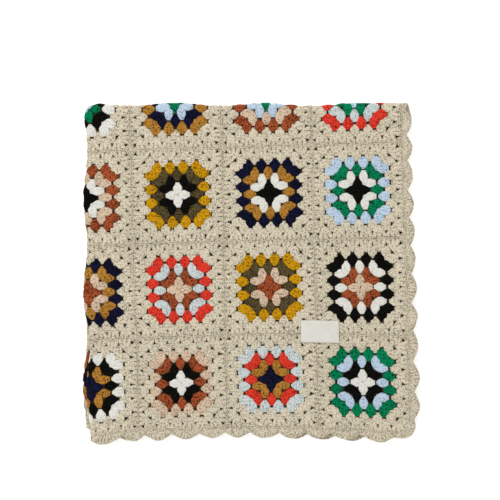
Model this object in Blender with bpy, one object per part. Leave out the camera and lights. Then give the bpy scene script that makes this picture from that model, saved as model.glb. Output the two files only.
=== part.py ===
# Crochet blanket of joined granny squares, folded in quarters and lying flat.
# Metres, +Z up. The origin is on the flat underside, about the middle of the folded blanket.
# +X points from the first fold to the open side hem, +Y to the second fold.
# The blanket is worked out opened, on its own plane (across, along), with the folds on
# across = 0 and along = 0, and each point is then carried through both folds.
import bisect
import math

import bpy

# Opened blanket
SQUARES_ACROSS = 7
SQUARES_ALONG = 7
SQUARE_WIDTH = 0.122
SQUARE_LENGTH = 0.1275
CLOTH_THICKNESS = 0.0032
HEM_CORNER_RADIUS = 0.018
PIECE_GAP = 0.0003

# Shell edging, measured out from the joined squares
SHELL_VALLEY = 0.0082
SHELL_TIP = 0.0135
CORNER_SHELL_TIP = 0.0105
SHELLS_PER_END = 23
SHELLS_PER_SIDE = 23
SHELL_STEPS = 6
SHELL_ROUNDNESS = 0.7

# Folds: the first is tight, the second turns two layers at once
LAYER_GAP = 0.001
FIRST_FOLD_SEGMENTS = 8
SECOND_FOLD_SEGMENTS = 10
FOLD_CREASE_STEPS = (0.007, 0.017, 0.031)
LONGEST_FACET = 0.032

# Sewn-on label, from the middle of the opened blanket to its own middle
LABEL_WIDTH = 0.050
LABEL_LENGTH = 0.030
LABEL_THICKNESS = 0.0008
LABEL_ACROSS = 0.311
LABEL_ALONG = -0.311

# How each quarter lies, because hand-made squares differ and a folded hem never meets itself.
# side_lean: how far the side hem leans out, for each metre from the second fold.
# end_start, end_slope, end_flare: how far the end hem reaches past its even length at the
# first fold, and how that grows towards the side hem, in proportion and as a cube.
QUARTERS = {
    "top": {"side_lean": 0.030, "end_start": -0.0020, "end_slope": -0.021, "end_flare": 0.0225},
    "second": {"side_lean": 0.022, "end_start": -0.0020, "end_slope": -0.026, "end_flare": 0.0225},
    "third": {"side_lean": 0.029, "end_start": -0.0195, "end_slope": 0.017, "end_flare": 0.0},
    "bottom": {"side_lean": 0.025, "end_start": -0.0195, "end_slope": 0.019, "end_flare": 0.0},
}

# Unevenness of the folded stack
SIDE_SWELL = 0.0026
TOP_SWELL = 0.0018
SWELL_DEPTH = 0.060
TOP_LOFT = 0.20
TOP_LOFT_WIDTH = 0.030
SIDE_LOFT = 0.08
SIDE_LOFT_WIDTH = 0.022
WAVE = 0.03
WAVE_LENGTH_X = 0.19
WAVE_LENGTH_Y = 0.23
FRONT_FOLD_SLIP = 0.0045
BACK_FOLD_SLIP = -0.0012
SLIP_START = 0.265
SLIP_END = 0.335
SLIP_DEPTH = 0.200
FOLD_CORNER_PULL = 0.005
FOLD_CORNER_SIZE = 0.020

# Where the origin lies in the folded stack, from the two fold lines
ORIGIN_FROM_FIRST_FOLD = 0.2215
ORIGIN_FROM_SECOND_FOLD = 0.2205

HALF_WIDTH = SQUARES_ACROSS * SQUARE_WIDTH / 2
HALF_LENGTH = SQUARES_ALONG * SQUARE_LENGTH / 2
FIRST_RADIUS = (CLOTH_THICKNESS + LAYER_GAP) / 2
PAIR_HALF = FIRST_RADIUS + CLOTH_THICKNESS / 2
SECOND_RADIUS = PAIR_HALF + LAYER_GAP / 2
HALF_STACK = SECOND_RADIUS + PAIR_HALF
FIRST_QUARTER_TURN = math.pi / 2 * FIRST_RADIUS
SECOND_QUARTER_TURN = math.pi / 2 * SECOND_RADIUS


def ease(value):
    value = min(1.0, max(0.0, value))
    return value * value * (3 - 2 * value)


# Lie of the opened blanket

def quarter_of(across, along):
    if along <= 0:
        return QUARTERS["top"] if across >= 0 else QUARTERS["second"]
    return QUARTERS["bottom"] if across >= 0 else QUARTERS["third"]


# The hems lean and sag. The folds stay where they are, so the shift grows from them outwards.
def lie(across, along):
    quarter = quarter_of(across, along)
    share_across = min(1.0, abs(across) / HALF_WIDTH)
    share_along = min(1.0, abs(along) / HALF_LENGTH)
    side = quarter["side_lean"] * abs(along) * share_across ** 2
    end = quarter["end_start"] + quarter["end_slope"] * share_across
    end = (end + quarter["end_flare"] * share_across ** 3) * share_along ** 2
    return (
        math.copysign(abs(across) + side, across),
        math.copysign(abs(along) + end, along),
    )


# The two folds

# lift is the height above the middle of the cloth, positive on its right side.
def fold(across, along, lift):
    radius = FIRST_RADIUS + lift
    if abs(across) <= FIRST_QUARTER_TURN:
        turn = across / FIRST_RADIUS
        x = -radius * math.cos(turn)
        height = radius * math.sin(turn)
    else:
        x = abs(across) - FIRST_QUARTER_TURN
        height = math.copysign(radius, across)
    radius = SECOND_RADIUS + height
    if abs(along) <= SECOND_QUARTER_TURN:
        turn = -along / SECOND_RADIUS
        y = radius * math.cos(turn)
        z = radius * math.sin(turn)
    else:
        y = SECOND_QUARTER_TURN - abs(along)
        z = math.copysign(radius, -along)
    return x, y, z + HALF_STACK


# The folded edges swell at the middle of each square, the two halves of the first fold slip
# apart at the lower left, the stack stands a little higher at its folds, and the underside
# stays flat.
def settle(x, y, z, along):
    from_side = x + PAIR_HALF
    from_top = SECOND_RADIUS + PAIR_HALF - y
    side_wave = math.cos(2 * math.pi * from_top / SQUARE_LENGTH)
    top_wave = math.cos(2 * math.pi * from_side / SQUARE_WIDTH)
    x_shift = -SIDE_SWELL * side_wave * (1 - ease(from_side / SWELL_DEPTH))
    y_shift = TOP_SWELL * top_wave * (1 - ease(from_top / SWELL_DEPTH))
    corner = (1 - ease(from_side / FOLD_CORNER_SIZE)) * (1 - ease(from_top / FOLD_CORNER_SIZE))
    x_shift += FOLD_CORNER_PULL * corner
    y_shift -= FOLD_CORNER_PULL * corner
    slip = ease((abs(along) - SLIP_START) / (SLIP_END - SLIP_START)) * (1 - ease(from_side / SLIP_DEPTH))
    x_shift += slip * (FRONT_FOLD_SLIP if along < 0 else BACK_FOLD_SLIP)
    loft = TOP_LOFT * math.exp(-((from_top / TOP_LOFT_WIDTH) ** 2))
    loft += SIDE_LOFT * math.exp(-((from_side / SIDE_LOFT_WIDTH) ** 2))
    wave = math.sin(2 * math.pi * x / WAVE_LENGTH_X + 0.6) * math.sin(2 * math.pi * y / WAVE_LENGTH_Y + 1.1)
    return x + x_shift, y + y_shift, z * (1 + loft + WAVE * wave)


def place(across, along, lift):
    across, along = lie(across, along)
    x, y, z = settle(*fold(across, along, lift), along)
    return x - ORIGIN_FROM_FIRST_FOLD, y + ORIGIN_FROM_SECOND_FOLD, z


# Lines of the facets: close together round a fold, and wider towards the hem

def evenly_between(keys, longest):
    lines = [keys[0]]
    for start, end in zip(keys, keys[1:]):
        count = math.ceil((end - start) / longest - 1e-6)
        lines += [start + (end - start) * step / count for step in range(1, count + 1)]
    return lines


def fold_lines(quarter_turn, segments):
    return [quarter_turn * (2 * step / segments - 1) for step in range(segments + 1)]


def sheet_lines(quarter_turn, segments, hem, label_edges):
    near = [quarter_turn] + [quarter_turn + step for step in FOLD_CREASE_STEPS]
    outer = evenly_between([near[-1]] + label_edges + [hem - HEM_CORNER_RADIUS, hem], LONGEST_FACET)
    half = near[:-1] + outer
    return [-line for line in reversed(half)] + fold_lines(quarter_turn, segments)[1:-1] + half


def label_span(middle, size):
    return [abs(middle) - size / 2, abs(middle) + size / 2]


def cloth_lines_across():
    edges = label_span(LABEL_ACROSS, LABEL_WIDTH)
    return sheet_lines(FIRST_QUARTER_TURN, FIRST_FOLD_SEGMENTS, HALF_WIDTH, edges)


def cloth_lines_along():
    edges = label_span(LABEL_ALONG, LABEL_LENGTH)
    return sheet_lines(SECOND_QUARTER_TURN, SECOND_FOLD_SEGMENTS, HALF_LENGTH, edges)


# Meshes

def material(name, colour, roughness):
    made = bpy.data.materials.new(name)
    made.use_nodes = True
    shader = made.node_tree.nodes["Principled BSDF"]
    shader.inputs["Base Color"].default_value = (*colour, 1.0)
    shader.inputs["Roughness"].default_value = roughness
    made.diffuse_color = (*colour, 1.0)
    return made


def add_object(name, vertices, faces, look):
    mesh = bpy.data.meshes.new(name)
    mesh.from_pydata(vertices, [], faces)
    mesh.materials.append(look)
    mesh.validate()
    mesh.shade_smooth()
    mesh.set_sharp_from_angle(angle=math.radians(50))
    made = bpy.data.objects.new(name, mesh)
    bpy.context.scene.collection.objects.link(made)
    return made


# A sheet on a grid of lines, with the corner of the grid drawn in where the hem is rounded
def sheet(lines_across, lines_along, lower, upper, corner_radius):
    pull = corner_radius * (1 - math.sqrt(0.5))
    last_column = len(lines_across) - 1
    last_row = len(lines_along) - 1
    vertices = []
    for lift in (lower, upper):
        for row, along in enumerate(lines_along):
            for column, across in enumerate(lines_across):
                drawn_in = pull if row in (0, last_row) and column in (0, last_column) else 0.0
                vertices.append(place(
                    math.copysign(abs(across) - drawn_in, across),
                    math.copysign(abs(along) - drawn_in, along),
                    lift,
                ))
    columns = len(lines_across)
    skin = columns * len(lines_along)
    faces = []
    for row in range(last_row):
        for column in range(last_column):
            corner = row * columns + column
            below = (corner, corner + 1, corner + columns + 1, corner + columns)
            faces.append(tuple(reversed(below)))
            faces.append(tuple(skin + index for index in below))
    rim = list(range(last_column))
    rim += [row * columns + last_column for row in range(last_row)]
    rim += [last_row * columns + column for column in range(last_column, 0, -1)]
    rim += [row * columns for row in range(last_row, 0, -1)]
    for start, end in zip(rim, rim[1:] + rim[:1]):
        faces.append((start, end, skin + end, skin + start))
    return vertices, faces


def build_cloth():
    half = CLOTH_THICKNESS / 2
    vertices, faces = sheet(cloth_lines_across(), cloth_lines_along(), -half, half, HEM_CORNER_RADIUS)
    return add_object("cloth", vertices, faces, material("beige cotton yarn", (0.66, 0.60, 0.45), 0.9))


def build_label():
    lower = CLOTH_THICKNESS / 2 + PIECE_GAP
    edges_across = label_span(LABEL_ACROSS, LABEL_WIDTH)
    edges_along = [-edge for edge in reversed(label_span(LABEL_ALONG, LABEL_LENGTH))]
    vertices, faces = sheet(edges_across, edges_along, lower, lower + LABEL_THICKNESS, 0.0)
    return add_object("label", vertices, faces, material("woven label", (0.73, 0.71, 0.65), 0.8))


# The edging is a ring round the opened blanket: four straight stretches and four round corners.
# Each stretch lists where its stations lie, as distances from its own middle.

def shell_reach(phase, tip=SHELL_TIP):
    return SHELL_VALLEY + (tip - SHELL_VALLEY) * math.sin(math.pi * phase) ** SHELL_ROUNDNESS


def side_stations(hem, shells, quarter_turn, segments):
    pitch = 2 * hem / shells
    first = -hem + pitch / 2
    stations = fold_lines(quarter_turn, segments)
    clear = pitch / SHELL_STEPS / 2
    for step in range((shells - 1) * SHELL_STEPS + 1):
        station = first + pitch * step / SHELL_STEPS
        if abs(station) > quarter_turn + clear:
            bisect.insort(stations, station)
    reach = [shell_reach(((station - first) / pitch) % 1.0) for station in stations]
    return stations, reach


# Inner and outer points of one round corner, from its first side hem to the next.
# The inner points keep to the straight facets of the cloth's own corner.
def corner_stations(turned):
    eighth = math.radians(45)
    facet_middle = HEM_CORNER_RADIUS * math.cos(eighth / 2) + PIECE_GAP
    steps = 6
    points = []
    for step in range(steps + 1):
        angle = math.radians(90) * step / steps
        facet = 0 if step <= steps // 2 else 1
        inner = facet_middle / math.cos(angle - eighth * (facet + 0.5))
        outer = HEM_CORNER_RADIUS + shell_reach((step + 1) / (steps + 2), CORNER_SHELL_TIP)
        direction = (math.cos(angle + turned), math.sin(angle + turned))
        points.append((direction, inner, outer))
    return points


# Ring of (inner point, outer point), anticlockwise from the right-hand side's lower end
def edging_ring():
    sides = side_stations(HALF_LENGTH, SHELLS_PER_SIDE, SECOND_QUARTER_TURN, SECOND_FOLD_SEGMENTS)
    ends = side_stations(HALF_WIDTH, SHELLS_PER_END, FIRST_QUARTER_TURN, FIRST_FOLD_SEGMENTS)
    ring = []
    for quarter_turn in range(4):
        turned = math.radians(90) * quarter_turn
        normal = (round(math.cos(turned)), round(math.sin(turned)))
        tangent = (-normal[1], normal[0])
        hem, half_run = (HALF_WIDTH, HALF_LENGTH) if quarter_turn % 2 == 0 else (HALF_LENGTH, HALF_WIDTH)
        stations, reaches = sides if quarter_turn % 2 == 0 else ends
        for station, reach in zip(stations, reaches):
            ring.append(tuple(
                tuple(normal[axis] * (hem + out) + tangent[axis] * station for axis in (0, 1))
                for out in (PIECE_GAP, reach)
            ))
        middle = [
            normal[axis] * (hem - HEM_CORNER_RADIUS) + tangent[axis] * (half_run - HEM_CORNER_RADIUS)
            for axis in (0, 1)
        ]
        for direction, inner, outer in corner_stations(turned):
            ring.append(tuple(
                tuple(middle[axis] + direction[axis] * radius for axis in (0, 1))
                for radius in (inner, outer)
            ))
    return ring


def build_edging():
    half = CLOTH_THICKNESS / 2
    vertices = []
    for inner, outer in edging_ring():
        vertices += [place(*inner, -half), place(*outer, -half), place(*outer, half), place(*inner, half)]
    sections = len(vertices) // 4
    faces = []
    for section in range(sections):
        here = section * 4
        there = (section + 1) % sections * 4
        for edge in range(4):
            other = (edge + 1) % 4
            faces.append((here + edge, there + edge, there + other, here + other))
    return add_object("edging", vertices, faces, material("beige cotton edging", (0.68, 0.62, 0.48), 0.9))


for existing in list(bpy.data.objects):
    bpy.data.objects.remove(existing, do_unlink=True)

build_cloth()
build_edging()
build_label()
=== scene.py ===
# Crochet blanket of joined granny squares, folded in quarters and lying flat.
# Every stitch is laid out on the opened blanket, with the two folds on the lines
# across = 0 and along = 0, and is then carried through both folds like the cloth itself.
import math
import bpy
import numpy as np
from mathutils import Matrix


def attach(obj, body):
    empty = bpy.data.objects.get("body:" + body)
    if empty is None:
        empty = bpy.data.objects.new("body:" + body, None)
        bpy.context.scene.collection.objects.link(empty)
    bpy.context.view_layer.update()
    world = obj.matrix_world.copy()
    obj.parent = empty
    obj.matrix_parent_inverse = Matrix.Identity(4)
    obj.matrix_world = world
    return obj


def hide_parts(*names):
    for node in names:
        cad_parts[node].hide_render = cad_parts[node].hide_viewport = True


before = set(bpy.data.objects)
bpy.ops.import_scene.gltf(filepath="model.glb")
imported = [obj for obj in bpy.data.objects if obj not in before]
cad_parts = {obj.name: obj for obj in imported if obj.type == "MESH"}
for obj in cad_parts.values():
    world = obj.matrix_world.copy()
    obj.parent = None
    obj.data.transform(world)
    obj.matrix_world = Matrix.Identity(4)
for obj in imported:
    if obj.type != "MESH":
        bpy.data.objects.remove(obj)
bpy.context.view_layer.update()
print("frame loaded:", ", ".join(sorted(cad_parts)))

# Opened blanket and its folds, in metres, the same values as the solids
blanket = {
    "squaresEachWay": 7,
    "squareWidth": 0.122,
    "squareLength": 0.1275,
    "thickness": 0.0032,
    "hemCornerRadius": 0.018,
    "layerGap": 0.001,
    "pieceGap": 0.0003,
    "originFromFirstFold": 0.2215,
    "originFromSecondFold": 0.2205,
    "columnDrift": 0.021,      # how far the columns of squares slant against the second fold
    "rowDrift": 0.031,         # the same for the rows against the first fold
    "insideReach": 0.014,      # how far stitches run on round the first fold to the hidden layers
}
halfWidth = blanket["squaresEachWay"] * blanket["squareWidth"] / 2
halfLength = blanket["squaresEachWay"] * blanket["squareLength"] / 2
firstRadius = (blanket["thickness"] + blanket["layerGap"]) / 2
pairHalf = firstRadius + blanket["thickness"] / 2
secondRadius = pairHalf + blanket["layerGap"] / 2
halfStack = secondRadius + pairHalf
firstQuarterTurn = math.pi / 2 * firstRadius
secondQuarterTurn = math.pi / 2 * secondRadius

# How each layer's hems lean and sag: side lean, end start, end slope, end flare.
# In order: top layer, second layer, third layer, bottom layer.
layerLie = np.array([
    [0.030, -0.0020, -0.021, 0.0225],
    [0.022, -0.0020, -0.026, 0.0225],
    [0.029, -0.0195, 0.017, 0.0],
    [0.025, -0.0195, 0.019, 0.0],
])

# Unevenness of the folded stack
settling = {
    "sideSwell": 0.0026, "topSwell": 0.0018, "swellDepth": 0.060,
    "topLoft": 0.20, "topLoftWidth": 0.030, "sideLoft": 0.08, "sideLoftWidth": 0.022,
    "wave": 0.03, "waveLengthX": 0.19, "waveLengthY": 0.23, "wavePhaseX": 0.6, "wavePhaseY": 1.1,
    "frontSlip": 0.0045, "backSlip": -0.0012, "slipStart": 0.265, "slipEnd": 0.335, "slipDepth": 0.200,
    "cornerPull": 0.005, "cornerSize": 0.020,
    "endRise": 0.0032, "endRiseStart": 0.375, "endRiseEnd": 0.415,
    "endHang": 0.0045, "endHangStart": 0.355, "endHangEnd": 0.425, "endHangWidth": 0.050,
}


def ease(value):
    value = np.clip(value, 0.0, 1.0)
    return value * value * (3 - 2 * value)


# The squares lie a little turned against the folds, while the hems stay where they are
def drift(across, along):
    slantedAcross = across - blanket["columnDrift"] * along * (1 - (across / halfWidth) ** 2)
    slantedAlong = along + blanket["rowDrift"] * across * (1 - (along / halfLength) ** 2)
    return slantedAcross, slantedAlong


def lie(across, along):
    layer = np.where(along <= 0, np.where(across >= 0, 0, 1), np.where(across >= 0, 3, 2))
    sideLean, endStart, endSlope, endFlare = layerLie[layer].T
    shareAcross = np.minimum(1.0, np.abs(across) / halfWidth)
    shareAlong = np.minimum(1.0, np.abs(along) / halfLength)
    side = sideLean * np.abs(along) * shareAcross ** 2
    end = (endStart + endSlope * shareAcross + endFlare * shareAcross ** 3) * shareAlong ** 2
    return np.copysign(np.abs(across) + side, across), np.copysign(np.abs(along) + end, along)


def fold(across, along, lift):
    radius = firstRadius + lift
    turn = across / firstRadius
    bent = np.abs(across) <= firstQuarterTurn
    x = np.where(bent, -radius * np.cos(turn), np.abs(across) - firstQuarterTurn)
    height = np.where(bent, radius * np.sin(turn), np.copysign(radius, across))
    radius = secondRadius + height
    turn = -along / secondRadius
    bent = np.abs(along) <= secondQuarterTurn
    y = np.where(bent, radius * np.cos(turn), secondQuarterTurn - np.abs(along))
    z = np.where(bent, radius * np.sin(turn), np.copysign(radius, -along))
    return x, y, z + halfStack


def settle(x, y, z, along):
    s = settling
    fromSide = x + pairHalf
    fromTop = secondRadius + pairHalf - y
    sideWave = np.cos(2 * math.pi * fromTop / blanket["squareLength"])
    topWave = np.cos(2 * math.pi * fromSide / blanket["squareWidth"])
    xShift = -s["sideSwell"] * sideWave * (1 - ease(fromSide / s["swellDepth"]))
    yShift = s["topSwell"] * topWave * (1 - ease(fromTop / s["swellDepth"]))
    corner = (1 - ease(fromSide / s["cornerSize"])) * (1 - ease(fromTop / s["cornerSize"]))
    xShift = xShift + s["cornerPull"] * corner
    yShift = yShift - s["cornerPull"] * corner
    nearEnd = ease((fromSide - s["endRiseStart"]) / (s["endRiseEnd"] - s["endRiseStart"]))
    yShift = yShift + s["endRise"] * nearEnd * (1 - ease(fromTop / s["swellDepth"]))
    nearEnd = ease((fromTop - s["endHangStart"]) / (s["endHangEnd"] - s["endHangStart"]))
    yShift = yShift - s["endHang"] * nearEnd * (1 - ease(fromSide / s["endHangWidth"]))
    slip = ease((np.abs(along) - s["slipStart"]) / (s["slipEnd"] - s["slipStart"]))
    slip = slip * (1 - ease(fromSide / s["slipDepth"]))
    xShift = xShift + slip * np.where(along < 0, s["frontSlip"], s["backSlip"])
    loft = s["topLoft"] * np.exp(-(fromTop / s["topLoftWidth"]) ** 2)
    loft = loft + s["sideLoft"] * np.exp(-(fromSide / s["sideLoftWidth"]) ** 2)
    waveX = np.sin(2 * math.pi * x / s["waveLengthX"] + s["wavePhaseX"])
    waveY = np.sin(2 * math.pi * y / s["waveLengthY"] + s["wavePhaseY"])
    wave = waveX * waveY
    return x + xShift, y + yShift, z * (1 + loft + s["wave"] * wave)


def place(across, along, lift):
    across, along = lie(across, along)
    x, y, z = settle(*fold(across, along, lift), along)
    return np.stack([x - blanket["originFromFirstFold"], y + blanket["originFromSecondFold"], z], axis=1)


def foldMesh(mesh, drifts):
    spots = np.empty(len(mesh.vertices) * 3, np.float32)
    mesh.vertices.foreach_get("co", spots)
    across, along, lift = spots.reshape(-1, 3).astype(float).T
    if drifts:
        across, along = drift(across, along)
    mesh.vertices.foreach_set("co", place(across, along, lift).astype(np.float32).ravel())
    mesh.update()
    mesh.shade_smooth()


# Small helpers

def toLinear(hexColour):
    shares = [int(hexColour[start:start + 2], 16) / 255 for start in (1, 3, 5)]
    return [share / 12.92 if share <= 0.04045 else ((share + 0.055) / 1.055) ** 2.4 for share in shares]


def addNode(tree, kind, inputs=None, **settings):
    node = tree.nodes.new(kind)
    for name, value in settings.items():
        setattr(node, name, value)
    for key, value in (inputs or {}).items():
        if isinstance(value, bpy.types.NodeSocket):
            tree.links.new(value, node.inputs[key])
        else:
            node.inputs[key].default_value = value
    return node


def addPiece(name, mesh):
    made = bpy.data.objects.new(name, mesh)
    bpy.context.scene.collection.objects.link(made)
    return made


# Materials

yarn = {
    "plyTwist": 0.0105,       # length of one turn of the three plies, in metres
    "plies": 3,
    "crossing": 0.0025,       # from one place where strands sink under each other to the next
    "fibreGrain": 0.0019,     # fibre tufts, drawn coarser than real so that they show
    "patchesPerMetre": 45.0,  # soft clouds of tone, about 22 mm wide
    "relief": 0.0008,
    "roughness": 0.92,
    "specular": 0.1,
    # How much each pattern weighs in the shade of a strand
    "plyShade": 0.22, "fibreShade": 0.48, "crossingShade": 0.42, "toneShade": 0.16, "patchShade": 0.20,
    "shadeStart": -0.165,
    # Where the painted shade of the groove, the colour itself and the painted highlight of the crown
    # stand on that scale
    "grooveAt": 0.12, "bodyAt": 0.66, "crownAt": 0.95,
}


# Matt double knitting cotton, spun and plied: soft light all over, a groove between the plies darkened
# with painted shade, small painted shadows where the strands cross, painted highlights on the crowns,
# and no shine.
def cottonYarn(name, hexColour, groove, crownHighlight):
    made = bpy.data.materials.new(name)
    made.use_nodes = True
    tree = made.node_tree
    shader = tree.nodes["Principled BSDF"]
    colour = toLinear(hexColour)
    side = addNode(tree, "ShaderNodeAttribute", attribute_name="strandSide")
    run = addNode(tree, "ShaderNodeAttribute", attribute_name="strandRun")
    tone = addNode(tree, "ShaderNodeAttribute", attribute_name="tone")
    parts = addNode(tree, "ShaderNodeSeparateXYZ", {"Vector": side.outputs["Vector"]})
    angle = addNode(tree, "ShaderNodeMath", {0: parts.outputs["Y"], 1: parts.outputs["X"]},
                    operation="ARCTAN2")
    plies = addNode(tree, "ShaderNodeMath", {0: angle.outputs[0], 1: float(yarn["plies"])},
                    operation="MULTIPLY")
    turnRate = 2 * math.pi * yarn["plies"] / yarn["plyTwist"]
    phase = addNode(tree, "ShaderNodeMath", {0: run.outputs["Fac"], 1: turnRate, 2: plies.outputs[0]},
                    operation="MULTIPLY_ADD")
    wave = addNode(tree, "ShaderNodeMath", {0: phase.outputs[0]}, operation="SINE")
    ply = addNode(tree, "ShaderNodeMapRange", {
        "Value": wave.outputs[0], "From Min": -1.0, "From Max": 0.0})
    spot = addNode(tree, "ShaderNodeTexCoord")
    fibres = addNode(tree, "ShaderNodeTexNoise", {
        "Vector": spot.outputs["Object"], "Scale": 1 / yarn["fibreGrain"],
        "Detail": 2.0, "Roughness": 0.65})
    fleck = addNode(tree, "ShaderNodeMapRange", {
        "Value": fibres.outputs[0], "From Min": 0.38, "From Max": 0.58})
    crossings = addNode(tree, "ShaderNodeTexNoise", {
        "Vector": spot.outputs["Object"], "Scale": 1 / yarn["crossing"], "Detail": 0.0})
    sunk = addNode(tree, "ShaderNodeMapRange", {
        "Value": crossings.outputs[0], "From Min": 0.33, "From Max": 0.46})
    patch = addNode(tree, "ShaderNodeTexNoise", {
        "Vector": spot.outputs["Object"], "Scale": yarn["patchesPerMetre"], "Detail": 1.0})
    shade = addNode(tree, "ShaderNodeMath", {
        0: ply.outputs[0], 1: yarn["plyShade"], 2: yarn["shadeStart"]}, operation="MULTIPLY_ADD")
    weighed = (
        (fleck.outputs[0], "fibreShade"), (sunk.outputs[0], "crossingShade"),
        (tone.outputs["Fac"], "toneShade"), (patch.outputs[0], "patchShade"),
    )
    for part, weight in weighed:
        shade = addNode(tree, "ShaderNodeMath", {0: part, 1: yarn[weight], 2: shade.outputs[0]},
                        operation="MULTIPLY_ADD")
    # The ramp turns this into colour: painted shade at the low end for the ply grooves and crossings,
    # then the yarn's colour, then a painted highlight at the crown
    ramp = addNode(tree, "ShaderNodeValToRGB", {"Fac": shade.outputs[0]})
    stops = ramp.color_ramp.elements
    stops[0].position = yarn["grooveAt"]
    stops[0].color = [channel * groove for channel in colour] + [1.0]
    stops[1].position = yarn["crownAt"]
    stops[1].color = [min(1.0, channel * crownHighlight) for channel in colour] + [1.0]
    body = stops.new(yarn["bodyAt"])
    body.color = colour + [1.0]
    relief = addNode(tree, "ShaderNodeMath", {0: sunk.outputs[0], 1: 0.8, 2: ply.outputs[0]},
                     operation="MULTIPLY_ADD")
    relief = addNode(tree, "ShaderNodeMath", {0: fleck.outputs[0], 1: 0.6, 2: relief.outputs[0]},
                     operation="MULTIPLY_ADD")
    bump = addNode(tree, "ShaderNodeBump", {
        "Height": relief.outputs[0], "Strength": 0.9, "Distance": yarn["relief"]})
    tree.links.new(ramp.outputs["Color"], shader.inputs["Base Color"])
    tree.links.new(bump.outputs["Normal"], shader.inputs["Normal"])
    shader.inputs["Roughness"].default_value = yarn["roughness"]
    shader.inputs["Specular IOR Level"].default_value = yarn["specular"]
    return made


deep = {
    "grainsPerMetre": 420.0,   # strands seen in the dark, about 2.4 mm wide
    "darkAt": 0.35, "lightAt": 0.70, "relief": 0.0006, "roughness": 0.95, "specular": 0.1,
}


# The same cotton deep between the stitches, where little light comes, coloured in painted shade: dark
# and dull, with the grain of the strands behind
def paintedShadeCotton(name, hexColour, darkest):
    made = bpy.data.materials.new(name)
    made.use_nodes = True
    tree = made.node_tree
    shader = tree.nodes["Principled BSDF"]
    colour = toLinear(hexColour)
    spot = addNode(tree, "ShaderNodeTexCoord")
    grain = addNode(tree, "ShaderNodeTexNoise", {
        "Vector": spot.outputs["Object"], "Scale": deep["grainsPerMetre"], "Detail": 3.0})
    ramp = addNode(tree, "ShaderNodeValToRGB", {"Fac": grain.outputs[0]})
    stops = ramp.color_ramp.elements
    stops[0].position = deep["darkAt"]
    stops[0].color = [channel * darkest for channel in colour] + [1.0]
    stops[1].position = deep["lightAt"]
    stops[1].color = colour + [1.0]
    bump = addNode(tree, "ShaderNodeBump", {
        "Height": grain.outputs[0], "Strength": 0.8, "Distance": deep["relief"]})
    tree.links.new(ramp.outputs["Color"], shader.inputs["Base Color"])
    tree.links.new(bump.outputs["Normal"], shader.inputs["Normal"])
    shader.inputs["Roughness"].default_value = deep["roughness"]
    shader.inputs["Specular IOR Level"].default_value = deep["specular"]
    return made


yarnColours = {
    "beige": "#EADEC4", "white": "#FFFDF3", "black": "#030302", "navy": "#0B0C22",
    "gold": "#BB8335", "mustard": "#D69C0E", "olive": "#564A2D", "rust": "#9F4E2C",
    "blush": "#EBCFB2", "red": "#F54130", "lightBlue": "#D5EAFF", "iceBlue": "#E2EBE9",
    "green": "#008052",
}
# How dark the painted shade in the grooves and how light the painted highlight on the crowns of the
# strands are, as shares of the colour. Pale yarn throws light into its own grooves, so their painted
# shade stays lighter.
grooveShadeAndCrownHighlight = {
    "white": (0.84, 1.0), "iceBlue": (0.46, 1.08), "lightBlue": (0.48, 1.02), "blush": (0.34, 1.15),
    "beige": (0.42, 1.16), "black": (0.2, 8.0), "navy": (0.10, 3.2), "rust": (0.03, 1.6),
    "olive": (0.03, 1.6), "green": (0.03, 1.5), "red": (0.20, 1.22), "gold": (0.16, 1.30),
    "mustard": (0.18, 1.26),
}
yarnLooks = {
    colour: cottonYarn("cotton yarn " + colour, code, *grooveShadeAndCrownHighlight[colour])
    for colour, code in yarnColours.items()
}
# Painted shade: the back sheet is a dark brown for the shadow between the stitches, the web a darker
# beige for the light shade behind the shells
paintedShadeLook = paintedShadeCotton("cotton in shadow", "#3E331F", 0.45)
webShadeLook = paintedShadeCotton("cotton behind the shells in painted shade", "#BCAD8A", 0.60)
print("materials ready")


# Geometry Nodes tree that works one kind of stitch onto each of the given points. A stitch is one
# to three posts: padded strands that start narrow, swell, and close again over the next gap.

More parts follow.
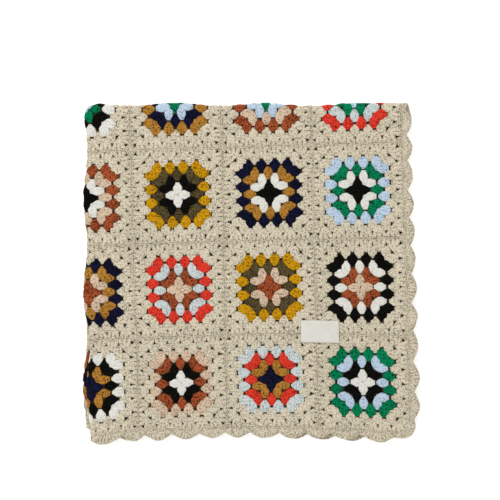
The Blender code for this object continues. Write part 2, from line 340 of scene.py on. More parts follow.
def stitchTree(name, sides, sizes):
    tree = bpy.data.node_groups.new(name, "GeometryNodeTree")
    tree.interface.new_socket("Places", in_out="INPUT", socket_type="NodeSocketGeometry")
    for label, value in sizes.items():
        kind = "NodeSocketInt" if isinstance(value, int) else "NodeSocketFloat"
        tree.interface.new_socket(label, in_out="INPUT", socket_type=kind).default_value = value
    tree.interface.new_socket("Yarn", in_out="INPUT", socket_type="NodeSocketMaterial")
    tree.interface.new_socket("Stitches", in_out="OUTPUT", socket_type="NodeSocketGeometry")
    given = addNode(tree, "NodeGroupInput").outputs
    levels = {}
    for level, share in (("foot", -0.5), ("lower", -0.16), ("upper", 0.16), ("top", 0.5)):
        scaled = addNode(tree, "ShaderNodeMath", {0: given["Length"], 1: share}, operation="MULTIPLY")
        levels[level] = scaled.outputs[0]

    # Each place has its own turn and size, and is tilted a little by chance
    turn = addNode(tree, "GeometryNodeInputNamedAttribute", {"Name": "turn"}, data_type="FLOAT")
    size = addNode(tree, "GeometryNodeInputNamedAttribute", {"Name": "size"}, data_type="FLOAT_VECTOR")
    nearFold = addNode(tree, "GeometryNodeInputNamedAttribute", {"Name": "nearFold"},
                       data_type="BOOLEAN")
    parted = addNode(tree, "GeometryNodeSeparateGeometry", {
        "Geometry": given["Places"], "Selection": nearFold.outputs[0]}, domain="POINT").outputs
    least = addNode(tree, "ShaderNodeMath", {0: given["Unevenness"], 1: -1.0}, operation="MULTIPLY")
    tilt = addNode(tree, "FunctionNodeRandomValue", {
        "Min": least.outputs[0], "Max": given["Unevenness"], "Seed": given["Seed"]},
        data_type="FLOAT_VECTOR")
    asked = addNode(tree, "ShaderNodeCombineXYZ", {"Z": turn.outputs[0]})
    turned = addNode(tree, "ShaderNodeVectorMath", {0: asked.outputs[0], 1: tilt.outputs[0]},
                     operation="ADD")
    rotation = addNode(tree, "FunctionNodeEulerToRotation", {"Euler": turned.outputs[0]})

    # Thickness along a post: full in the middle, narrower at the foot and at the top
    along = addNode(tree, "GeometryNodeSplineParameter").outputs
    atFoot = addNode(tree, "ShaderNodeMath", {0: 1.0, 1: given["Foot Taper"]}, operation="SUBTRACT")
    atTop = addNode(tree, "ShaderNodeMath", {0: 1.0, 1: given["Top Taper"]}, operation="SUBTRACT")
    opening = addNode(tree, "ShaderNodeMapRange", {
        "Value": along["Factor"], "From Max": given["Full At"], "To Min": atFoot.outputs[0]},
        interpolation_type="SMOOTHSTEP")
    closing = addNode(tree, "ShaderNodeMapRange", {
        "Value": along["Factor"], "From Min": 0.54, "To Min": 1.0, "To Max": atTop.outputs[0]},
        interpolation_type="SMOOTHSTEP")
    share = addNode(tree, "ShaderNodeMath", {0: opening.outputs[0], 1: closing.outputs[0]},
                    operation="MULTIPLY")
    girth = addNode(tree, "ShaderNodeMath", {0: given["Strand Radius"], 1: share.outputs[0]},
                    operation="MULTIPLY")
    ring = addNode(tree, "GeometryNodeCurvePrimitiveCircle", {
        "Resolution": given["Strand Sides"], "Radius": 1.0})
    ringSpot = addNode(tree, "GeometryNodeInputPosition")
    profile = addNode(tree, "GeometryNodeStoreNamedAttribute", {
        "Geometry": ring.outputs[0], "Name": "strandSide", "Value": ringSpot.outputs[0]},
        data_type="FLOAT_VECTOR")

    # The posts of a stitch, worked coarser on the flat and finer near the folds
    bendInputs = (
        ("foot", "Foot Spread", "Foot Height"), ("lower", "Middle Spread", "Middle Height"),
        ("upper", "Middle Spread", "Middle Height"), ("top", "Top Spread", "Top Height"),
    )
    onTheFlat = (given["Rows"], parted["Inverted"])
    nearTheFolds = (given["Rows Near Folds"], parted["Selection"])
    finished = addNode(tree, "GeometryNodeJoinGeometry")
    for rows, spots in (onTheFlat, nearTheFolds):
        posts = addNode(tree, "GeometryNodeJoinGeometry")
        for side in sides:
            bends = {}
            for level, spread, height in bendInputs:
                aside = addNode(tree, "ShaderNodeMath", {0: given[spread], 1: side},
                                operation="MULTIPLY")
                bend = addNode(tree, "ShaderNodeCombineXYZ", {
                    "X": aside.outputs[0], "Y": levels[level], "Z": given[height]})
                bends[level] = bend.outputs[0]
            path = addNode(tree, "GeometryNodeCurvePrimitiveBezierSegment", {
                "Resolution": rows, "Start": bends["foot"], "Start Handle": bends["lower"],
                "End Handle": bends["upper"], "End": bends["top"]})
            spotCount = addNode(tree, "ShaderNodeMath", {0: rows, 1: 1.0}, operation="ADD")
            even = addNode(tree, "GeometryNodeResampleCurve", {
                "Curve": path.outputs[0], "Count": spotCount.outputs[0]})
            marked = addNode(tree, "GeometryNodeStoreNamedAttribute", {
                "Geometry": even.outputs[0], "Name": "strandRun", "Value": along["Length"]},
                data_type="FLOAT")
            upright = addNode(tree, "GeometryNodeSetCurveNormal", {"Curve": marked.outputs[0]},
                              mode="Z_UP")
            post = addNode(tree, "GeometryNodeCurveToMesh", {
                "Curve": upright.outputs[0], "Profile Curve": profile.outputs[0],
                "Scale": girth.outputs[0], "Fill Caps": True})
            tree.links.new(post.outputs[0], posts.inputs[0])
        flatness = addNode(tree, "ShaderNodeCombineXYZ", {"X": 1.0, "Y": 1.0, "Z": given["Flatness"]})
        flattened = addNode(tree, "GeometryNodeTransform", {
            "Geometry": posts.outputs[0], "Scale": flatness.outputs[0]})
        worked = addNode(tree, "GeometryNodeInstanceOnPoints", {
            "Points": spots, "Instance": flattened.outputs[0],
            "Rotation": rotation.outputs[0], "Scale": size.outputs[0]})
        tree.links.new(worked.outputs[0], finished.inputs[0])
    solid = addNode(tree, "GeometryNodeRealizeInstances", {"Geometry": finished.outputs[0]})
    dyed = addNode(tree, "GeometryNodeSetMaterial", {
        "Geometry": solid.outputs[0], "Material": given["Yarn"]})
    addNode(tree, "NodeGroupOutput", {"Stitches": dyed.outputs[0]})
    return tree


nearFolds = {"first": 0.017, "second": 0.028}   # stitches as near to a fold line as this get more rows


# Runs a stitch tree over a list of places (across, along, lift, turn, width share, length share),
# bakes it to a plain mesh and folds it. The values are the tree's inputs that differ for this piece.
def workStitches(name, tree, places, look, drifts, values=None):
    table = np.array(places, float)
    spots = bpy.data.meshes.new(name + "Places")
    spots.from_pydata(table[:, :3].tolist(), [], [])
    sizes = np.column_stack([table[:, 4], table[:, 5], np.ones(len(table))])
    close = (np.abs(table[:, 0]) < nearFolds["first"]) | (np.abs(table[:, 1]) < nearFolds["second"])
    tones = np.random.default_rng(len(table)).uniform(-0.5, 0.5, len(table))
    for attribute, kind, key, numbers in (
            ("turn", "FLOAT", "value", table[:, 3].astype(np.float32)),
            ("size", "FLOAT_VECTOR", "vector", sizes.astype(np.float32).ravel()),
            ("nearFold", "BOOLEAN", "value", close),
            ("tone", "FLOAT", "value", tones.astype(np.float32))):
        spots.attributes.new(attribute, kind, "POINT").data.foreach_set(key, numbers)
    made = addPiece(name, spots)
    modifier = made.modifiers.new("stitches", "NODES")
    modifier.node_group = tree
    asked = dict(values or {}, Yarn=look)
    for item in tree.interface.items_tree:
        if item.item_type == "SOCKET" and item.in_out == "INPUT" and item.name in asked:
            modifier[item.identifier] = asked[item.name]
    graph = bpy.context.evaluated_depsgraph_get()
    mesh = bpy.data.meshes.new_from_object(
        made.evaluated_get(graph), preserve_all_data_layers=True, depsgraph=graph)
    made.modifiers.clear()
    made.data = mesh
    mesh.name = name
    bpy.data.meshes.remove(spots)
    foldMesh(mesh, drifts)
    return made


# Granny squares: the yarns of the first four rounds, from the middle out. Rounds five and six are
# beige. Rows run down from the second fold, columns run right from the first.
frontRows = [
    [("lightBlue", "green", "black", "white"), ("green", "lightBlue", "navy", "gold"),
     ("green", "lightBlue", "blush", "rust"), ("lightBlue", "green", "iceBlue", "red")],
    [("black", "white", "blush", "rust"), ("white", "black", "olive", "mustard"),
     ("black", "white", "gold", "navy"), ("black", "white", "green", "lightBlue")],
    [("rust", "blush", "gold", "navy"), ("blush", "rust", "iceBlue", "red"),
     ("rust", "blush", "olive", "mustard"), ("blush", "rust", "white", "black")],
    [("navy", "gold", "black", "white"), ("white", "black", "rust", "blush"),
     ("navy", "gold", "red", "iceBlue"), ("white", "black", "lightBlue", "green")],
]
backRows = [
    [("gold", "navy", "white", "green"), ("red", "iceBlue", "black", "blush"),
     ("olive", "mustard", "white", "navy"), ("iceBlue", "red", "rust", "white")],
    [("white", "black", "lightBlue", "green"), ("navy", "gold", "blush", "rust"),
     ("lightBlue", "green", "white", "black"), ("green", "lightBlue", "gold", "navy")],
    [("navy", "gold", "rust", "blush"), ("black", "white", "mustard", "olive"),
     ("rust", "blush", "red", "iceBlue"), ("black", "white", "navy", "gold")],
]

# How far some squares lie off their place in the grid, in metres, by column and row. Their last
# round and the joins follow by only a share of it.
slips = {
    (0, 0): (-0.0026, 0.0004), (1, 0): (-0.0010, 0.0004), (3, 0): (-0.0032, -0.0005),
    (1, -1): (0.0009, 0.0010), (2, -1): (0.0022, 0.0002), (3, -1): (-0.0007, 0.0007),
    (0, -2): (0.0013, -0.0010), (2, -2): (-0.0010, 0.0), (3, -2): (-0.0005, -0.0015),
    (0, -3): (-0.0022, -0.0010), (1, -3): (-0.0016, -0.0004), (2, -3): (-0.0022, 0.0024),
    (3, -3): (-0.0010, 0.0),
}
joinFollows = 0.5

# Rounds of a square, as shares of its half width: how far out a cluster starts and ends and how
# wide it is, and where the two clusters of a corner start and end, which share one corner space
rounds = {
    "feet": [0.018, 0.180, 0.304, 0.454, 0.618, 0.745],
    "tops": [0.262, 0.402, 0.552, 0.699, 0.848, 0.976],
    "widths": [0.213, 0.200, 0.207, 0.222, 0.222, 0.240],
    "cornerFeet": [0.0, 0.130, 0.288, 0.424, 0.574, 0.752],
    "cornerTops": [0.0, 0.148, 0.308, 0.450, 0.604, 0.740],
    "loopFoot": (-0.987, 0.902),   # the chain loop that closes the corner space of the last round
    "loopTop": (-0.902, 0.987),
    "pitch": 0.2944,
    "lean": [0.024, 0.024, 0.024, 0.022, 0.012, 0.004],   # the rounds creep round as they are worked
    "extraLean": (-0.012, 0.016),  # by chance, for each square; the beige rounds take only a share of it
    "beigeLeanShare": 0.3,
    "unevenness": 0.005,
}
cluster = {
    "Length": 0.0180, "Foot Spread": 0.0010, "Middle Spread": 0.0046, "Top Spread": 0.0019,
    "Foot Height": -0.0022, "Middle Height": 0.0010, "Top Height": -0.0020,
    "Strand Radius": 0.0030, "Foot Taper": 0.48, "Full At": 0.46, "Top Taper": 0.40, "Flatness": 0.44,
    "Unevenness": 0.035, "Seed": 11, "Strand Sides": 6, "Rows": 6, "Rows Near Folds": 14,
}
clusterWidth = 0.0136
# The fourth round is pinched by the fifth, and the two beige rounds close up into one fabric
fourthRound = {
    "Foot Spread": 0.0004, "Middle Spread": 0.0047, "Top Spread": 0.0039, "Top Taper": 0.22, "Seed": 17,
}
fifthRound = {
    "Top Spread": 0.0018, "Top Taper": 0.34, "Top Height": -0.0014, "Flatness": 0.38, "Seed": 23,
}
sixthRound = {
    "Foot Spread": 0.0004, "Foot Taper": 0.56, "Full At": 0.52, "Middle Spread": 0.0044,
    "Top Spread": 0.0068, "Top Taper": 0.0, "Top Height": -0.0004, "Flatness": 0.38, "Seed": 31,
}

# Flat joins between the squares, the corner loops and the row of short stitches round the hem:
# chains of V stitches
chain = {
    "Length": 0.0066, "Foot Spread": 0.0002, "Middle Spread": 0.0012, "Top Spread": 0.0007,
    "Foot Height": -0.0006, "Middle Height": 0.0003, "Top Height": -0.0001,
    "Strand Radius": 0.00135, "Foot Taper": 0.40, "Full At": 0.46, "Top Taper": 0.25, "Flatness": 0.85,
    "Unevenness": 0.06, "Seed": 41, "Strand Sides": 5, "Rows": 3, "Rows Near Folds": 5,
}
joinChain = {"Middle Spread": 0.0015, "Strand Radius": 0.0012}
joinRow = {
    "pitch": 0.0053, "lift": 0.0007,        # the joins lie on the edges of the squares
    "startFromHem": 0.006, "endFromHem": 0.004,
}
hemRow = {"out": -0.0013, "pitch": 0.0048, "lengthShare": 0.95}
roundFirstFold = -0.012       # joins and hem stitches start here, a little way round the first fold


def squaresOnShow():
    for row in range(-3, 4):
        rows = frontRows[-row] if row <= 0 else backRows[row - 1]
        for column in range(4):
            yield column, row, rows[column]


# Foot and top of each cluster of a round, on the side that faces up, as shares of the half square.
# The last round also has the chain loop of its corner.
def roundClusters(number):
    foot = rounds["feet"][number - 1]
    top = rounds["tops"][number - 1]
    cornerFoot = rounds["cornerFeet"][number - 1]
    cornerTop = rounds["cornerTops"][number - 1]
    for index in range(number):
        offset = (index - (number - 1) / 2) * rounds["pitch"]
        if number > 1 and index in (0, number - 1):
            aside = math.copysign(1, offset)
            yield (aside * cornerFoot, cornerFoot), (aside * cornerTop, top)
        else:
            yield (offset, foot), (offset, top)
    if number == 6:
        yield rounds["loopFoot"], rounds["loopTop"]


def clusterPlaces():
    chance = np.random.default_rng(5)
    halfSquare = np.array([blanket["squareWidth"], blanket["squareLength"]]) / 2
    found = {}
    for column, row, colours in squaresOnShow():
        slip = np.array(slips.get((column, row), (0.0, 0.0)))
        middle = np.array([column, row]) * halfSquare * 2 + slip
        extraLean = chance.uniform(*rounds["extraLean"])
        for number in range(1, 7):
            leanShare = 1 if number < 5 else rounds["beigeLeanShare"]
            lean = rounds["lean"][number - 1] + extraLean * leanShare
            for side in range(4):
                turn = lean + side * math.pi / 2
                turned = np.array([[math.cos(turn), -math.sin(turn)], [math.sin(turn), math.cos(turn)]])
                for foot, top in roundClusters(number):
                    loop = foot == rounds["loopFoot"]
                    shaken = chance.uniform(-1, 1, 4) * rounds["unevenness"]
                    start = middle + turned @ (np.array(foot) + shaken[:2]) * halfSquare
                    end = middle + turned @ (np.array(top) + shaken[2:]) * halfSquare
                    if number == 6:
                        end = end - slip * (1 - joinFollows)
                    if loop:
                        start = start - slip * (1 - joinFollows)
                    at = (start + end) / 2
                    if drift(*at)[0] < -blanket["insideReach"]:
                        continue
                    way = math.atan2(end[1] - start[1], end[0] - start[0]) - math.pi / 2
                    if loop:
                        length = np.linalg.norm(end - start) / chain["Length"]
                        loopSpot = (at[0], at[1], joinRow["lift"] / 2, way, 1.0, length)
                        found.setdefault(("corner", "beige"), []).append(loopSpot)
                        continue
                    width = rounds["widths"][number - 1] * halfSquare[0] / clusterWidth
                    length = np.linalg.norm(end - start) / cluster["Length"]
                    kind = "inner" if number < 4 else ("fourth", "fifth", "sixth")[number - 4]
                    colour = colours[number - 1] if number < 5 else "beige"
                    found.setdefault((kind, colour), []).append((at[0], at[1], 0.0, way, width, length))
    return found


clusterTree = stitchTree("clusterOfThree", (-1.0, 0.0, 1.0), cluster)
chainTree = stitchTree("chainStitch", (-1.0, 1.0), chain)
roundShapes = {"inner": {}, "fourth": fourthRound, "fifth": fifthRound, "sixth": sixthRound}
stitchPieces = []
clusters = clusterPlaces()
cornerLoops = clusters.pop(("corner", "beige"))
for (kind, colour), places in sorted(clusters.items()):
    name = kind + "Round_" + colour
    look = yarnLooks[colour]
    stitchPieces.append(workStitches(name, clusterTree, places, look, True, roundShapes[kind]))
print("clusters worked:", sum(len(piece.data.polygons) for piece in stitchPieces), "faces")


# How far a join lies off the grid between two squares that have slipped
def joinSlip(first, second, axis):
    return joinFollows * (slips.get(first, (0.0, 0.0))[axis] + slips.get(second, (0.0, 0.0))[axis]) / 2


def joinPlaces():
    found = []
    for column in range(3):
        line = (column + 0.5) * blanket["squareWidth"]
        stations = np.arange(
            -halfLength + joinRow["startFromHem"], halfLength - joinRow["endFromHem"], joinRow["pitch"])
        for along in stations:
            row = round(along / blanket["squareLength"])
            shifted = line + joinSlip((column, row), (column + 1, row), 0)
            found.append((shifted, along, joinRow["lift"], 0.0, 1.0, 1.0))
    for row in range(-3, 3):
        line = (row + 0.5) * blanket["squareLength"]
        for across in np.arange(roundFirstFold, halfWidth - joinRow["endFromHem"], joinRow["pitch"]):
            column = round(across / blanket["squareWidth"])
            shifted = line + joinSlip((column, row), (column, row + 1), 1)
            found.append((across, shifted, joinRow["lift"], -math.pi / 2, 1.0, 1.0))
    return found


# Points round the hem of the opened blanket, a given distance outside it, anticlockwise from the
# lower end of the right-hand side, each with the turn of a stitch that runs along the hem there
def hemPath(out, pitch):
    radius = blanket["hemCornerRadius"]
    points = []
    for turned in (0, 1, 2, 3):
        normal = np.array([round(math.cos(turned * math.pi / 2)), round(math.sin(turned * math.pi / 2))])
        hem, run = (halfWidth, halfLength) if turned % 2 == 0 else (halfLength, halfWidth)
        tangent = np.array([-normal[1], normal[0]])
        for station in np.arange(-run + radius + pitch / 2, run - radius, pitch):
            points.append((*(normal * (hem + out) + tangent * station), turned * math.pi / 2))
        middle = normal * (hem - radius) + tangent * (run - radius)
        steps = max(2, round(math.pi / 2 * (radius + out) / pitch))
        for step in range(steps):
            angle = turned * math.pi / 2 + math.pi / 2 * (step + 0.5) / steps
            bentX = middle[0] + (radius + out) * math.cos(angle)
            bentY = middle[1] + (radius + out) * math.sin(angle)
            points.append((bentX, bentY, angle))
    return points


joins = joinPlaces() + cornerLoops
stitchPieces.append(workStitches("joins", chainTree, joins, yarnLooks["beige"], True, joinChain))
# Only the half that shows
hemPlaces = [
    (x, y, 0.0, angle, 1.0, hemRow["lengthShare"])
    for x, y, angle in hemPath(hemRow["out"], hemRow["pitch"]) if x > roundFirstFold
]
stitchPieces.append(workStitches("hemRow", chainTree, hemPlaces, yarnLooks["beige"], False, joinChain))
print("joins and hem row worked")


# Shell edging: fans of long stitches out of one stitch of the hem row, with a rim of chain loops,
# on all four layers
shells = {
    "valley": 0.0052, "tip": 0.0133, "cornerTip": 0.0086, "perSide": 23, "roundness": 1.15,
    "unevenTip": 0.0008, "postsPerShell": 9, "footSpread": 0.60, "footOut": 0.0006, "topInset": 0.0020,
    "valleyWidth": 2.2, "valleyLift": -0.0004,   # the plain stitch in the valley between two shells
    "rimInset": 0.0013, "rimPitch": 0.0046, "rimSteps": 25, "rimAhead": 0.0006,
    "rimWidth": 0.85, "rimLength": 0.92,
    "cornerOverrun": 0.06,    # how far the corner fan runs on past the quarter turn, as a share of it
}
rimShape = {"Middle Height": 0.0002, "Seed": 67}
# How far the valleys on show lie off their even places, in metres: side by side, first the right
# hem from its lower end up, then the lower hem from the first fold to the right
valleySlips = {
    0: [0.0014, -0.0020, 0.0014, 0.0081, 0.0027, 0.0068, 0.0054, 0.0041, 0.0, 0.0041, -0.0034, -0.0084],
    3: [0.0] * 12 + [
        0.0101, 0.0041, 0.0034, 0.0054, 0.0014, -0.0041, -0.0041, -0.0054, -0.0110, -0.0085, -0.0030],
}
shellPost = {
    "Length": 0.0120, "Foot Spread": 0.0, "Middle Spread": 0.0, "Top Spread": 0.0,
    "Foot Height": 0.0, "Middle Height": 0.0002, "Top Height": 0.0,
    "Strand Radius": 0.0024, "Foot Taper": 0.48, "Full At": 0.46, "Top Taper": 0.0, "Flatness": 0.56,
    "Unevenness": 0.04, "Seed": 53, "Strand Sides": 6, "Rows": 5, "Rows Near Folds": 9,
}


def shellReach(phase, tip):
    return shells["valley"] + (tip - shells["valley"]) * math.sin(math.pi * phase) ** shells["roundness"]


# Each shell of the ring: a function that gives the point a share of the way along its stretch of the
# hem and a distance outside it, and how far its tip reaches
def shellSpans():
    spans = []
    chance = np.random.default_rng(8)
    for turned in range(4):
        angle = turned * math.pi / 2
        normal = np.array([round(math.cos(angle)), round(math.sin(angle))])
        tangent = np.array([-normal[1], normal[0]])
        hem, run = (halfWidth, halfLength) if turned % 2 == 0 else (halfLength, halfWidth)
        pitch = 2 * run / shells["perSide"]
        slipped = np.zeros(shells["perSide"])
        slipped[:len(valleySlips.get(turned, []))] = valleySlips.get(turned, [])
        valleys = -run + pitch / 2 + np.arange(shells["perSide"]) * pitch + slipped
        for start, stop in zip(valleys, valleys[1:]):

            def straight(share, out, start=start, stop=stop, hem=hem, normal=normal, tangent=tangent):
                return normal * (hem + out) + tangent * (start + share * (stop - start))
            spans.append((straight, shells["tip"] + chance.uniform(-1, 1) * shells["unevenTip"]))
        radius = blanket["hemCornerRadius"]
        middle = normal * (hem - radius) + tangent * (run - radius)

        def corner(share, out, middle=middle, angle=angle, radius=radius):
            overrun = shells["cornerOverrun"]
            turn = angle + math.pi / 2 * (share * (1 + 2 * overrun) - overrun)
            return middle + (radius + out) * np.array([math.cos(turn), math.sin(turn)])
        spans.append((corner, shells["cornerTip"]))
    return spans


def shellPlaces():
    posts = []
    rims = []
    for span, tip in shellSpans():
        count = shells["postsPerShell"]
        for number in range(count):
            share = (number + 0.5) / count
            foot = span(0.5 + (share - 0.5) * shells["footSpread"], shells["footOut"])
            top = span(share, shellReach(share, tip) - shells["topInset"])
            middle = (foot + top) / 2
            reach = np.linalg.norm(top - foot)
            turn = math.atan2(top[1] - foot[1], top[0] - foot[0]) - math.pi / 2
            posts.append((middle[0], middle[1], 0.0, turn, 1.0, reach / shellPost["Length"]))
        foot = span(0.0, 0.0)
        top = span(0.0, shells["valley"] - shells["topInset"])
        turn = math.atan2(top[1] - foot[1], top[0] - foot[0]) - math.pi / 2
        middle = (foot + top) / 2
        length = np.linalg.norm(top - foot) / shellPost["Length"]
        posts.append((middle[0], middle[1], shells["valleyLift"], turn, shells["valleyWidth"], length))
        outline = np.array([
            span(share, shellReach(share, tip) - shells["rimInset"])
            for share in np.linspace(0, 1, shells["rimSteps"])
        ])
        steps = np.linalg.norm(np.diff(outline, axis=0), axis=1)
        runs = np.concatenate([[0], np.cumsum(steps)])
        loops = max(4, round(runs[-1] / shells["rimPitch"]))
        for number in range(loops):
            at = (number + 0.5) / loops * runs[-1]
            ahead = at + shells["rimAhead"]
            x, y = [np.interp(at, runs, outline[:, axis]) for axis in (0, 1)]
            aheadX, aheadY = [np.interp(ahead, runs, outline[:, axis]) for axis in (0, 1)]
            turn = math.atan2(aheadY - y, aheadX - x) - math.pi / 2
            rims.append((x, y, 0.0, turn, shells["rimWidth"], shells["rimLength"]))
    return posts, rims


shellTree = stitchTree("shellPost", (0.0,), shellPost)
postPlaces, rimPlaces = shellPlaces()
stitchPieces.append(workStitches("shellPosts", shellTree, postPlaces, yarnLooks["beige"], False))
stitchPieces.append(workStitches("shellRims", chainTree, rimPlaces, yarnLooks["beige"], False, rimShape))
print("shell edging worked")


# Backs in painted shade: the sheet seen through the gaps between the stitches, coloured dark for the
# shadow there, and the web behind the shells, coloured a darker beige for the light shade there


# A closed slab over a grid of lines, from one lift to the other, with rounded corners if asked
def sheetMesh(name, lines, lower, upper, rounded):
    across, along = np.meshgrid(*lines)
    if rounded:
        radius = blanket["hemCornerRadius"]
        overX = np.clip((np.abs(across) - (halfWidth - radius)) / radius, 0, 1)
        overY = np.clip((np.abs(along) - (halfLength - radius)) / radius, 0, 1)
        both = (overX > 0) & (overY > 0)
        length = np.where(both, np.hypot(overX, overY), 1.0)
        drawn = np.where(both, np.maximum(overX, overY) / length, 1.0)
        across = np.where(both, np.copysign(halfWidth - radius + radius * overX * drawn, across), across)
        along = np.where(both, np.copysign(halfLength - radius + radius * overY * drawn, along), along)
    columns = len(lines[0])
    rowsCount = len(lines[1])
    skin = columns * rowsCount
    flat = [
        np.column_stack([across.ravel(), along.ravel(), np.full(skin, lift)])
        for lift in (lower, upper)
    ]
    corners = (np.arange(rowsCount - 1)[:, None] * columns + np.arange(columns - 1)[None, :]).ravel()
    quads = np.column_stack([corners, corners + 1, corners + columns + 1, corners + columns])
    rim = list(range(columns - 1))
    rim += [row * columns + columns - 1 for row in range(rowsCount - 1)]
    rim += [(rowsCount - 1) * columns + column for column in range(columns - 1, 0, -1)]
    rim += [row * columns for row in range(rowsCount - 1, 0, -1)]
    edges = [(start, end, skin + end, skin + start) for start, end in zip(rim, rim[1:] + rim[:1])]
    mesh = bpy.data.meshes.new(name)
    faces = quads[:, ::-1].tolist() + (quads + skin).tolist() + edges
    mesh.from_pydata(np.vstack(flat).tolist(), [], faces)
    return mesh


def foldedLines(quarterTurn, segments, hem, spacing):
    bend = np.linspace(-quarterTurn, quarterTurn, segments + 1)
    outside = np.linspace(quarterTurn, hem, round((hem - quarterTurn) / spacing) + 1)[1:]
    return np.concatenate([-outside[::-1], bend, outside])


ground = {"spacing": 0.008, "lower": -0.0016, "upper": -0.0007, "hemInset": 0.0012}
groundLines = (
    foldedLines(firstQuarterTurn, 8, halfWidth - ground["hemInset"], ground["spacing"]),
    foldedLines(secondQuarterTurn, 10, halfLength - ground["hemInset"], ground["spacing"]),
)
# The back sheet carries the painted shade of the gaps between the stitches
groundMesh = sheetMesh("clothBackInPaintedShade", groundLines, ground["lower"], ground["upper"], True)
groundMesh.materials.append(paintedShadeLook)
foldMesh(groundMesh, False)
groundPiece = addPiece("clothBackInPaintedShade", groundMesh)

web = {"halfThickness": 0.0005, "inner": 0.0003, "inset": 0.0016, "steps": 6}


def webRing():
    inner = []
    outer = []
    for span, tip in shellSpans():
        for step in range(web["steps"]):
            share = step / web["steps"]
            inner.append(span(share, web["inner"]))
            outer.append(span(share, shellReach(share, tip) - web["inset"]))
    return inner, outer


innerPoints, outerPoints = webRing()
webSpots = []
for innerPoint, outerPoint in zip(innerPoints, outerPoints):
    webSpots += [(*innerPoint, -web["halfThickness"]), (*outerPoint, -web["halfThickness"])]
    webSpots += [(*outerPoint, web["halfThickness"]), (*innerPoint, web["halfThickness"])]
webFaces = []
sections = len(innerPoints)
for section in range(sections):
    here = section * 4
    there = (section + 1) % sections * 4
    for edge in range(4):
        other = (edge + 1) % 4
        webFaces.append((here + edge, there + edge, there + other, here + other))
webMesh = bpy.data.meshes.new("shellWeb")
webMesh.from_pydata(webSpots, [], webFaces)
# The web is coloured with the beige in painted light shade
webMesh.materials.append(webShadeLook)
foldMesh(webMesh, False)
webPiece = addPiece("shellWeb", webMesh)
print("backs laid")


# Blank woven label, sewn flat on the top layer
label = {
    "width": 0.050, "length": 0.0308, "thickness": 0.0007, "across": 0.3125, "along": -0.311,
    "edgeShare": 0.99, "edgeInset": 0.0002, "edgeDrop": 0.5,   # the edge is pressed down and drawn in
    "pucker": 0.00022, "ribSpacing": 0.00069115, "cloudsPerMetre": 90.0, "roughness": 0.7,
}


# Woven satin tape: smooth, off-white, with fine ribs of warp and weft. The ribs are drawn wider
# than the real ones, which would not show.
def wovenTape(name, hexColour):
    made = bpy.data.materials.new(name)
    made.use_nodes = True
    tree = made.node_tree
    shader = tree.nodes["Principled BSDF"]
    colour = toLinear(hexColour)
    spot = addNode(tree, "ShaderNodeTexCoord")
    ribScale = 2 * math.pi / 20 / label["ribSpacing"]   # the texture has 20 radians of wave to a unit
    rib = addNode(tree, "ShaderNodeTexWave", {
        "Vector": spot.outputs["Object"], "Scale": ribScale, "Distortion": 0.6, "Detail": 1.0},
        bands_direction="Y")
    cross = addNode(tree, "ShaderNodeTexWave", {
        "Vector": spot.outputs["Object"], "Scale": ribScale, "Distortion": 0.4, "Detail": 1.0},
        bands_direction="X")
    both = addNode(tree, "ShaderNodeMath", {0: rib.outputs["Fac"], 1: cross.outputs["Fac"]},
                   operation="MULTIPLY")
    cloud = addNode(tree, "ShaderNodeTexNoise", {
        "Vector": spot.outputs["Object"], "Scale": label["cloudsPerMetre"], "Detail": 2.0})
    amount = addNode(tree, "ShaderNodeMath", {0: both.outputs[0], 1: 0.35, 2: cloud.outputs[0]},
                     operation="MULTIPLY_ADD")
    ramp = addNode(tree, "ShaderNodeValToRGB", {"Fac": amount.outputs[0]})
    stops = ramp.color_ramp.elements
    stops[0].position = 0.30
    stops[0].color = [channel * 0.90 for channel in colour] + [1.0]
    stops[1].position = 0.80
    stops[1].color = colour + [1.0]
    bump = addNode(tree, "ShaderNodeBump", {
        "Height": both.outputs[0], "Strength": 0.35, "Distance": 0.0002})
    tree.links.new(ramp.outputs["Color"], shader.inputs["Base Color"])
    tree.links.new(bump.outputs["Normal"], shader.inputs["Normal"])
    shader.inputs["Roughness"].default_value = label["roughness"]
    return made


labelBottom = blanket["thickness"] / 2 + blanket["pieceGap"]
halfLabel = (label["width"] / 2, label["length"] / 2)
labelLines = (
    np.linspace(label["across"] - halfLabel[0], label["across"] + halfLabel[0], 21),
    np.linspace(label["along"] - halfLabel[1], label["along"] + halfLabel[1], 13),
)
labelMesh = sheetMesh("sewnLabel", labelLines, labelBottom, labelBottom + label["thickness"], False)
for vertex in labelMesh.vertices:
    across = (vertex.co.x - label["across"]) / label["width"] * 2
    along = (vertex.co.y - label["along"]) / label["length"] * 2
    nearEdge = max(abs(across), abs(along))
    if vertex.co.z > labelBottom + 0.0001 and nearEdge > label["edgeShare"]:
        vertex.co.z -= label["thickness"] * label["edgeDrop"]
        vertex.co.x -= math.copysign(label["edgeInset"], across) * (abs(across) > label["edgeShare"])
        vertex.co.y -= math.copysign(label["edgeInset"], along) * (abs(along) > label["edgeShare"])
    vertex.co.z += label["pucker"] * math.sin(across * 4.1 + 0.5) * math.sin(along * 3.3 + 1.2)
labelMesh.materials.append(wovenTape("woven label tape", "#E7E4DA"))
foldMesh(labelMesh, False)
labelPiece = addPiece("sewnLabel", labelMesh)
print("label sewn on")


# What each piece rides on and stands for
for piece in stitchPieces + [groundPiece, webPiece, labelPiece]:
    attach(piece, "root")
for piece in stitchPieces:
    if piece.name.startswith("shell"):
        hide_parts("edging")
    else:
        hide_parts("cloth")
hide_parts("edging")
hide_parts("cloth")
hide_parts("label")

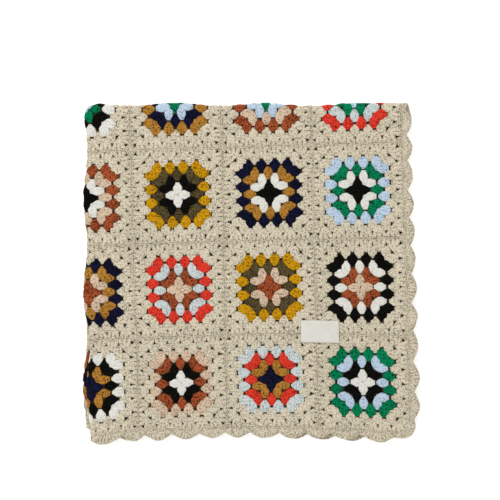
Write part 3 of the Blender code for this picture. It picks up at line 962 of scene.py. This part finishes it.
# Studio: pale floor, one soft light from the upper left, and an even pale surround
studio = {
    "floorSize": 6.0, "floorDrop": 0.0006, "floorGlow": 0.45, "surround": 0.715,
    "lightPower": 23.0, "lightSize": 1.6, "lightDistance": 2.6, "lightFrom": (-0.45, 0.55, 1.0),
    "cameraTarget": (-0.0017, 0.0304, 0.016), "cameraHeight": 3.0, "frameWidth": 0.675,
}

half = studio["floorSize"] / 2
floorCorners = [
    (x * half, y * half, -studio["floorDrop"])
    for x, y in ((-1, -1), (1, -1), (1, 1), (-1, 1))
]
floorMesh = bpy.data.meshes.new("floor")
floorMesh.from_pydata(floorCorners, [], [(0, 1, 2, 3)])
floorLook = bpy.data.materials.new("pale studio floor")
floorLook.use_nodes = True
floorShader = floorLook.node_tree.nodes["Principled BSDF"]
floorShader.inputs["Base Color"].default_value = (0.93, 0.93, 0.93, 1.0)
floorShader.inputs["Roughness"].default_value = 0.9
# It glows a little, like a light table, so there is hardly any shadow
floorShader.inputs["Emission Color"].default_value = (1.0, 1.0, 1.0, 1.0)
floorShader.inputs["Emission Strength"].default_value = studio["floorGlow"]
floorMesh.materials.append(floorLook)
floor = addPiece("floor", floorMesh)

world = bpy.data.worlds.new("studio surround")
world.use_nodes = True
world.node_tree.nodes["Background"].inputs["Color"].default_value = (1.0, 1.0, 1.0, 1.0)
world.node_tree.nodes["Background"].inputs["Strength"].default_value = studio["surround"]
bpy.context.scene.world = world

lightData = bpy.data.lights.new("softbox", "AREA")
lightData.energy = studio["lightPower"]
lightData.size = studio["lightSize"]
light = bpy.data.objects.new("softbox", lightData)
bpy.context.scene.collection.objects.link(light)
towards = np.array(studio["lightFrom"])
light.location = towards / np.linalg.norm(towards) * studio["lightDistance"]
light.rotation_euler = (-light.location).to_track_quat("-Z", "Y").to_euler()

cameraData = bpy.data.cameras.new("camera")
cameraData.sensor_width = 36.0
cameraData.lens = 36.0 * studio["cameraHeight"] / studio["frameWidth"]
cameraData.clip_end = 20.0
camera = bpy.data.objects.new("camera", cameraData)
bpy.context.scene.collection.objects.link(camera)
targetX, targetY, targetZ = studio["cameraTarget"]
camera.location = (targetX, targetY, targetZ + studio["cameraHeight"])
bpy.context.scene.camera = camera
bpy.context.scene.view_settings.view_transform = "Standard"
print("studio set")
